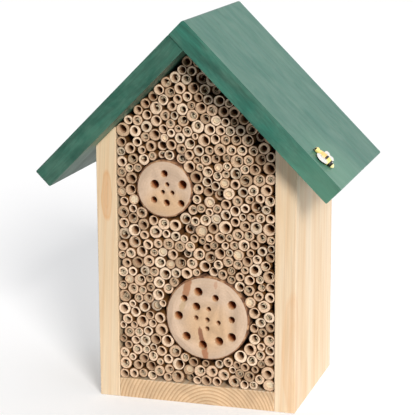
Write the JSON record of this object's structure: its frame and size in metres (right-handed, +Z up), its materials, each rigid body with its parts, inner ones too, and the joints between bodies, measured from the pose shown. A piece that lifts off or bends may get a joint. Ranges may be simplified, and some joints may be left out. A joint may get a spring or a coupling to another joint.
{
  "type": "insect hotel",
  "caption": "Gabled wooden box with an open front, packed with hollow reeds round two drilled logs, under a two-board green roof with a small bee ornament.",
  "frame": {"origin": "centre of the box footprint, on the ground, in the plane of the underside of the walls and base board", "axes": "+Z up; the open front faces -Y and the back panel +Y; +X is to the right when the front is seen"},
  "size_m": [0.2692, 0.166, 0.3424],
  "materials": {
    "pine": "planed, unfinished",
    "pine_panel": "sanded plywood",
    "green_stained_pine": "water-based wood stain, satin",
    "log_wood": "sawn end grain",
    "bark": "rough bark",
    "reed": "sawn reed",
    "brad_steel": "galvanised",
    "zinc_plated_steel": "bright zinc plate",
    "bee_yellow": "painted resin",
    "bee_black": "painted resin",
    "bee_white": "painted resin"
  },
  "bodies": {
    "root": {"back_panel": "pine_panel", "base_board": "pine", "base_brads": "brad_steel", "bee_body": "bee_yellow", "bee_head": "bee_black", "bee_wing_front": "bee_white", "bee_wing_rear": "bee_white", "hanger_plate": "zinc_plated_steel", "hanger_screws": "zinc_plated_steel", "large_log": "log_wood", "large_log_bark": "bark", "left_wall": "pine", "panel_face_brads": "brad_steel", "panel_side_brads": "brad_steel", "reeds_row_01": "reed", "reeds_row_02": "reed", "reeds_row_03": "reed", "reeds_row_04": "reed", "reeds_row_05": "reed", "reeds_row_06": "reed", "reeds_row_07": "reed", "reeds_row_08": "reed", "reeds_row_09": "reed", "reeds_row_10": "reed", "reeds_row_11": "reed", "reeds_row_12": "reed", "reeds_row_13": "reed", "reeds_row_14": "reed", "reeds_row_15": "reed", "reeds_row_16": "reed", "reeds_row_17": "reed", "reeds_row_18": "reed", "reeds_row_19": "reed", "reeds_row_20": "reed", "reeds_row_21": "reed", "reeds_row_22": "reed", "reeds_row_23": "reed", "reeds_row_24": "reed", "reeds_row_25": "reed", "reeds_row_26": "reed", "reeds_row_27": "reed", "reeds_row_28": "reed", "reeds_row_29": "reed", "reeds_row_30": "reed", "reeds_row_31": "reed", "reeds_row_32": "reed", "reeds_row_33": "reed", "ridge_brads": "brad_steel", "right_wall": "pine", "roof_board_left": "green_stained_pine", "roof_board_right": "green_stained_pine", "roof_brads": "brad_steel", "small_log": "log_wood", "small_log_bark": "bark"}
  },
  "joints": []
}
